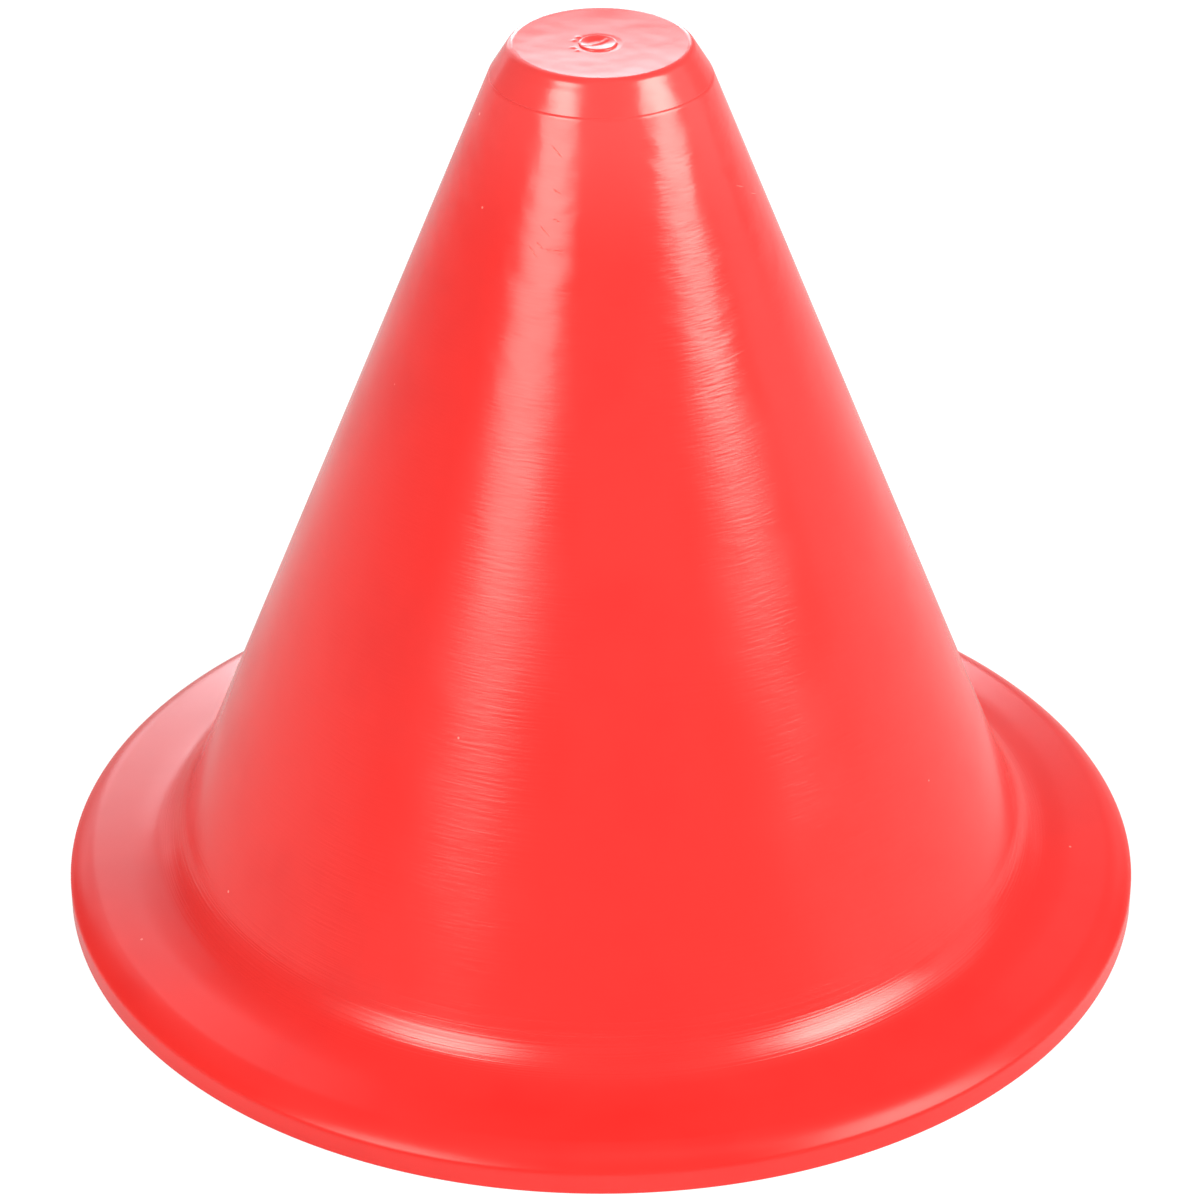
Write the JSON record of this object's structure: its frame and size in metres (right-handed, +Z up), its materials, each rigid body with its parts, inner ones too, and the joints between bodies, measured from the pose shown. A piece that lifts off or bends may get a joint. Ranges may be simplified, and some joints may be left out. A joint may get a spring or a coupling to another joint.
{
  "type": "sports marker cone",
  "caption": "Small hollow marker cone with a flat capped tip, a straight tapered wall and a wide round foot flange, for marking lines and turns on a practice field.",
  "frame": {"origin": "on the ground plane, at the centre of the rim", "axes": "+Z up along the axis of the cone; the cone is round, so X and Y are free, and -Y faces the viewer of the picture"},
  "size_m": [0.178, 0.178, 0.15],
  "materials": {
    "red_polyethylene": "semi-gloss moulded polyethylene, dyed red through, with fine tool marks round the cone"
  },
  "bodies": {
    "root": {"crown": "red_polyethylene", "cone_wall": "red_polyethylene", "base_flange": "red_polyethylene"}
  },
  "joints": []
}
